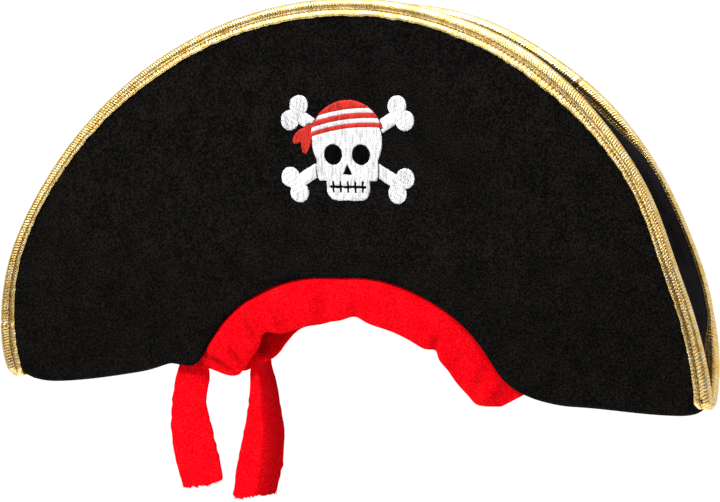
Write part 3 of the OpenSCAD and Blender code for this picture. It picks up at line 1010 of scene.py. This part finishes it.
def turned(x, z, degrees, cx=0.0, cz=0.0):
    """Coordinates in a frame turned about a point."""
    c, s = math.cos(math.radians(degrees)), math.sin(math.radians(degrees))
    return (x - cx) * c + (z - cz) * s, -(x - cx) * s + (z - cz) * c


def either(*shapes):
    return np.maximum.reduce(shapes)


def except_for(shape, *others):
    return np.minimum.reduce([shape] + [-other for other in others])


def bone_shape(x, z, degrees):
    """A bone's shaft, slightly waisted, with two knobs at each end."""
    a, b = turned(x, z, degrees)
    waist = BONE_W / 2 * (0.86 + 0.18 * (a / BONE_HALF) ** 2)
    shaft = np.minimum(waist - np.abs(b), BONE_HALF - np.abs(a))
    knobs = [in_circle(np.abs(a), b, BONE_HALF, side * KNOB_APART, KNOB_R) for side in (-1, 1)]
    return either(shaft, *knobs)


def above_scarf_edge(x, z):
    return z - (SCARF_EDGE + 0.12 * (x + 6) - 0.004 * (x ** 2))


def scarf_shape(x, z):
    """A headscarf: a cap with a curved lower edge, a knot and two pointed ends."""
    cap = np.minimum(in_circle(x, z, 0, SKULL_UP, SCARF_R), above_scarf_edge(x, z))
    knot = in_circle(x, z, *SCARF_KNOT, 3.6)
    ends = []
    for degrees, length in ((203, 14), (243, 15)):
        a, b = turned(x, z, degrees, *SCARF_KNOT)
        half = 1.3 + 2.2 * np.sin(np.pi * np.clip(a / length, 0, 1)) ** 0.8
        ends.append(np.minimum(half - np.abs(b - 0.05 * a * a / 4), np.minimum(a, length - a)))
    return either(cap, knot, *ends)


def stripes_shape(x, z):
    """White stripes round the headscarf."""
    up = above_scarf_edge(x, z)
    bands = [STRIPE_W / 2 - np.abs(up - middle) for middle in STRIPE_UP]
    return np.minimum(either(*bands), in_circle(x, z, 0, SKULL_UP, SCARF_R - 0.3))


def skull_shape(x, z):
    cheeks = in_box(x, z, 0, -12, 21.5, 13, 10)
    jaw = in_box(x, z, 0, (JAW_LOW - 8) / 2, JAW_W / 2 - 0.4, (-JAW_LOW - 8) / 2 + 0.5, JAW_CORNER)
    return either(in_circle(x, z, 0, SKULL_UP, SKULL_R), np.minimum(cheeks, z + 20), jaw)


def features_shape(x, z):
    """Two round sockets, a nose and the lines between the teeth."""
    eyes = [in_circle(x, z, side * EYE_X, EYE_Z, EYE_R) for side in (-1, 1)]
    nose_half = NOSE_W / 2 * (1 - (z - NOSE_Z) / NOSE_H)
    nose = np.minimum(nose_half - np.abs(x), z - NOSE_Z)
    gap_x = [(i - (TEETH - 1) / 2) * TOOTH_PITCH for i in range(TEETH)]
    gaps = [in_box(x, z, middle, MOUTH_Z, 0.75, MOUTH_H / 2, 0.6) for middle in gap_x]
    line = in_box(x, z, 0, MOUTH_Z, TEETH * TOOTH_PITCH / 2, 0.65, 0.6)
    return either(*eyes, nose, *gaps, line)


def stitches(inside, degrees, pitch, longest, rng, reach=62.0):
    """Threads across a flat shape: scan lines at an angle, cut into stitches whose ends lie staggered."""
    c, s = math.cos(math.radians(degrees)), math.sin(math.radians(degrees))
    step = 0.1
    along = np.arange(-reach, reach, step)
    found = []
    for row, offset in enumerate(np.arange(-reach, reach, pitch)):
        x, z = along * c - offset * s, along * s + offset * c
        mask = (inside(x, z) > 0).astype(int)
        edges = np.flatnonzero(np.diff(np.concatenate([[0], mask, [0]])))
        for first, after in edges.reshape(-1, 2):
            start, end = along[first], along[min(after, len(along) - 1)]
            if end - start < 0.5:
                continue
            start, end = start - rng.uniform(-0.12, 0.15), end + rng.uniform(-0.12, 0.15)
            cuts = [start, end]
            if end - start > longest:
                brick = (row % 3) / 3 * longest
                inner = np.arange(math.floor(start / longest) * longest + brick, end, longest)
                inner = inner[(inner > start + 1.2) & (inner < end - 1.2)] + rng.uniform(-0.2, 0.2)
                cuts = [start, *inner, end]
            found += [(a, b, offset + rng.normal(0, 0.03)) for a, b in zip(cuts[:-1], cuts[1:])]
    a, b, offset = np.array(found).T
    ends = [np.stack([t * c - offset * s, t * s + offset * c], axis=-1) for t in (a, b)]
    return np.stack(ends, axis=1)


def thread_mesh(name, lines, radius, material):
    """One object of many short threads, each a thin tube through its own points."""
    count, rings = lines.shape[:2]
    sides = 6
    along = np.gradient(lines, axis=1)
    along /= np.maximum(np.linalg.norm(along, axis=-1, keepdims=True), 1e-9)
    out = np.array([0.0, -1.0, 0.0])
    across = np.cross(along, out)
    across /= np.maximum(np.linalg.norm(across, axis=-1, keepdims=True), 1e-9)
    lift = np.cross(across, along)
    turn = np.radians(np.arange(sides) * 360 / sides + 30)
    thin = np.ones(rings)
    thin[0] = thin[-1] = 0.45
    ring = (np.cos(turn)[:, None] * across[:, :, None] + np.sin(turn)[:, None] * lift[:, :, None])
    points = lines[:, :, None] + radius * thin[None, :, None, None] * ring
    face = grid_faces(rings, sides, round_cols=True)
    caps = []
    for ring_start, order in ((0, range(sides)), ((rings - 1) * sides, range(sides - 1, -1, -1))):
        index = [ring_start + i for i in order]
        caps += [[index[0], index[1], index[2], index[3]], [index[0], index[3], index[4], index[5]]]
    face = np.concatenate([face, np.array(caps)[:, ::-1]])
    faces = (face[None] + (np.arange(count) * rings * sides)[:, None, None]).reshape(-1, 4)
    obj = make_object(name, points.reshape(-1, 3), faces, material)
    outwards(obj)
    return obj


def sewn(name, ends, base, lift, radius, material):
    """Stitches laid on the front cover: each rises from the cloth and comes down again."""
    share = np.array([0, 0.1, 0.28, 0.5, 0.72, 0.9, 1])
    rise = np.array([-0.25, 0.55, 0.92, 1.0, 0.92, 0.55, -0.25])
    flat = ends[:, :1] + (ends[:, 1:] - ends[:, :1]) * share[None, :, None]
    x, z = flat[..., 0] + EMBLEM_X, flat[..., 1] + EMBLEM_Z
    length = np.linalg.norm(ends[:, 1] - ends[:, 0], axis=1)[:, None]
    height = base + lift * rise * np.clip(length / 3, 0.4, 1)
    y = stand(x, z) + FACE_OUT + ripple(FRONT, x, z) + height
    return thread_mesh(name, warp(FRONT, x, y, z), radius, material)


def sew_patch(name, top, under, material):
    """Satin stitches over an underlay. The stripes have no node of their own to stand for."""
    satin = sewn(name + "_satin", top, 0.30, 0.42, THREAD_R, material)
    underlay = sewn(name + "_underlay", under, 0.02, 0.16, UNDER_R, material)
    if name != "emblem_stripes":
        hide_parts(name)
    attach(satin, "front_half")
    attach(underlay, "front_half")


def make_emblem():
    """A plain skull and crossed bones in a red headscarf, in satin stitch over an underlay."""
    rng = np.random.default_rng(5)

    def scarf_grown(x, z):
        return scarf_shape(x, z) + 0.7

    def skull_only(x, z):
        return except_for(skull_shape(x, z), scarf_shape(x, z), features_shape(x, z))

    def scarf_only(x, z):
        return except_for(scarf_shape(x, z), stripes_shape(x, z))

    def features(x, z):
        return np.minimum(features_shape(x, z), skull_shape(x, z))

    bones = []
    under_bones = []
    for degrees in (BONE_ANGLE, -BONE_ANGLE):
        def bone(x, z, degrees=degrees):
            shape = except_for(bone_shape(x, z, degrees), skull_shape(x, z) + 0.9, scarf_grown(x, z))
            if degrees < 0:
                shape = except_for(shape, bone_shape(x, z, -degrees) - 0.2)
            return shape
        bones.append(stitches(bone, degrees + 90, THREAD_PITCH, 9, rng))
        under_bones.append(stitches(bone, degrees, UNDER_PITCH, UNDER_LONGEST, rng))
    top, under = np.concatenate(bones), np.concatenate(under_bones)
    sew_patch("emblem_bones", top, under, WHITE_THREAD)
    for name, shape, top_turn, under_turn, longest, material, slot in (
            ("emblem_skull", skull_only, 91, 3, 5.5, WHITE_THREAD, "white_thread"),
            ("emblem_scarf", scarf_only, 62, -24, 7.5, RED_THREAD, "red_thread"),
            ("emblem_stripes", stripes_shape, 96, 6, 7.5, WHITE_THREAD, "white_thread"),
            ("emblem_features", features, 4, 92, 6, BLACK_THREAD, "black_thread")):
        top = stitches(shape, top_turn, THREAD_PITCH, longest, rng)
        under = stitches(shape, under_turn, UNDER_PITCH, UNDER_LONGEST, rng)
        sew_patch(name, top, under, material)


# ---- surroundings
CAMERA_TARGET = (7.8, 0.0, 88.9)
CAMERA_AZIMUTH = 25.77
CAMERA_ELEVATION = -0.65
CAMERA_ROLL = 1.63
CAMERA_DISTANCE = 2500
CAMERA_LENS = 195.3
FLOOR_Z = -480
FLOOR_HALF = 700


def make_camera():
    azimuth, elevation, roll = (math.radians(v) for v in (CAMERA_AZIMUTH, CAMERA_ELEVATION, CAMERA_ROLL))
    toward = Vector((math.sin(azimuth) * math.cos(elevation), -math.cos(azimuth) * math.cos(elevation),
                     math.sin(elevation)))
    right = Vector((math.cos(azimuth), math.sin(azimuth), 0))
    above = toward.cross(right)
    turned_right = math.cos(roll) * right + math.sin(roll) * above
    turned_above = -math.sin(roll) * right + math.cos(roll) * above
    data = bpy.data.cameras.new("camera")
    data.lens = CAMERA_LENS
    data.sensor_width = 36
    data.clip_end = 50
    camera = bpy.data.objects.new("camera", data)
    bpy.context.scene.collection.objects.link(camera)
    place = (Vector(CAMERA_TARGET) + toward * CAMERA_DISTANCE) * MM
    axes = Matrix((turned_right, turned_above, toward)).transposed()
    camera.matrix_world = Matrix.Translation(place) @ axes.to_4x4()
    bpy.context.scene.camera = camera


def add_light(name, place, aim, size, power, colour=(1, 1, 1)):
    data = bpy.data.lights.new(name, "AREA")
    data.shape = "RECTANGLE"
    data.size, data.size_y = size
    data.energy = power
    data.color = colour
    light = bpy.data.objects.new(name, data)
    bpy.context.scene.collection.objects.link(light)
    light.location = place
    light.rotation_euler = (Vector(aim) - Vector(place)).to_track_quat("-Z", "Y").to_euler()


def make_lights():
    middle = (0, 0, 0.1)
    add_light("key", (-0.9, -1.8, 1.8), middle, (0.9, 0.7), 66)
    add_light("top", (0.0, -0.3, 2.0), middle, (1.6, 0.7), 26)
    add_light("front", (-0.95, -2.0, 0.25), middle, (0.35, 0.9), 9)
    add_light("fill", (1.9, -1.4, 0.5), middle, (0.5, 1.2), 3)


def map_range(nodes, links, value, start, end):
    """Turns the values from start to end into 0 to 1."""
    node = nodes.new("ShaderNodeMapRange")
    node.inputs["From Min"].default_value = start
    node.inputs["From Max"].default_value = end
    links.new(value, node.inputs["Value"])
    return node


def make_world():
    """White where the camera looks past the hat. Light and reflections come from a soft grey room that is
    darker below, brighter to the right and pale behind."""
    world = bpy.data.worlds.new("room")
    bpy.context.scene.world = world
    world.use_nodes = True
    nodes, links = world.node_tree.nodes, world.node_tree.links
    nodes.clear()
    place = nodes.new("ShaderNodeTexCoord")
    split = nodes.new("ShaderNodeSeparateXYZ")
    links.new(place.outputs["Generated"], split.inputs["Vector"])
    height = map_range(nodes, links, split.outputs["Z"], -1, 1)
    shade = ramp_node(nodes, links, height.outputs["Result"],
                      [(0.30, (0.03, 0.028, 0.026)), (0.5, (0.08, 0.076, 0.072)),
                       (0.62, (0.20, 0.20, 0.20)), (0.95, (0.36, 0.36, 0.36))])
    rightward = map_range(nodes, links, split.outputs["X"], -0.8, 0.8)
    rightward.inputs["To Min"].default_value = 0.3
    rightward.inputs["To Max"].default_value = 2.2
    dimmed = nodes.new("ShaderNodeVectorMath")
    dimmed.operation = "SCALE"
    links.new(shade, dimmed.inputs["Vector"])
    links.new(rightward.outputs["Result"], dimmed.inputs["Scale"])
    behind = map_range(nodes, links, split.outputs["Y"], -0.62, -0.10)
    around = nodes.new("ShaderNodeMix")
    around.data_type = "RGBA"
    around.inputs["B"].default_value = (0.92, 0.92, 0.92, 1)
    links.new(behind.outputs["Result"], around.inputs["Factor"])
    links.new(dimmed.outputs["Vector"], around.inputs["A"])
    room = nodes.new("ShaderNodeBackground")
    links.new(around.outputs["Result"], room.inputs["Color"])
    white = nodes.new("ShaderNodeBackground")
    white.inputs["Color"].default_value = (1, 1, 1, 1)
    white.inputs["Strength"].default_value = 1.05
    path = nodes.new("ShaderNodeLightPath")
    choose = nodes.new("ShaderNodeMixShader")
    links.new(path.outputs["Is Camera Ray"], choose.inputs["Fac"])
    links.new(room.outputs["Background"], choose.inputs[1])
    links.new(white.outputs["Background"], choose.inputs[2])
    output = nodes.new("ShaderNodeOutputWorld")
    links.new(choose.outputs["Shader"], output.inputs["Surface"])


def make_floor():
    """A pale floor, some way below the hat."""
    material, nodes, links, shader, place = new_material("pale_floor")
    tone = noise_node(nodes, links, place, 3, 2)
    links.new(ramp_node(nodes, links, tone, [(0.3, (0.90, 0.90, 0.90)), (0.7, (0.93, 0.93, 0.93))]),
              shader.inputs["Base Color"])
    shader.inputs["Roughness"].default_value = 0.9
    ends = (-FLOOR_HALF, FLOOR_HALF)
    corners = [(x, y, FLOOR_Z) for y in ends for x in ends]
    floor = make_object("floor", corners, [[0, 1, 3, 2]], material)


make_camera()
make_world()
make_lights()
make_floor()
make_halves()
make_bindings()
make_tip_tucks()
make_wing_seams()
make_headbands()
make_tails()
make_side_tie()
make_crown_panels()
make_crown_strip()
make_emblem()

bpy.context.scene.view_settings.view_transform = "Standard"
